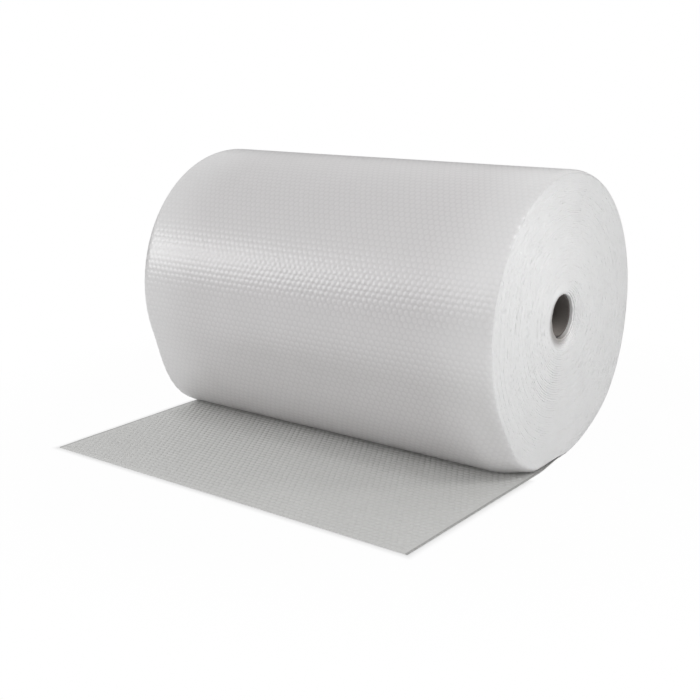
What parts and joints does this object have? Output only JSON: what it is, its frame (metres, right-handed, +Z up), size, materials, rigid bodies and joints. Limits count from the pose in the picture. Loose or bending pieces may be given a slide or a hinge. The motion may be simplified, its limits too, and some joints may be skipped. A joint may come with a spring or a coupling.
{
  "type": "bubble wrap roll",
  "caption": "Large roll of clear cushioning bubble web on a board core, lying on its side with its outer turn drawn out flat in front of it.",
  "frame": {"origin": "on the floor under the core's axis, halfway along the roll", "axes": "+X along the core, +Z up, and the drawn-out web lies towards -Y"},
  "size_m": [0.75, 0.7081, 0.4912],
  "materials": {
    "bubble_film": "translucent white polyethylene film with air bubbles, softly glossy",
    "core_board": "matt grey-brown spiral-wound paperboard"
  },
  "bodies": {
    "root": {"bubble_web": "bubble_film", "core_tube": "core_board"}
  },
  "joints": []
}
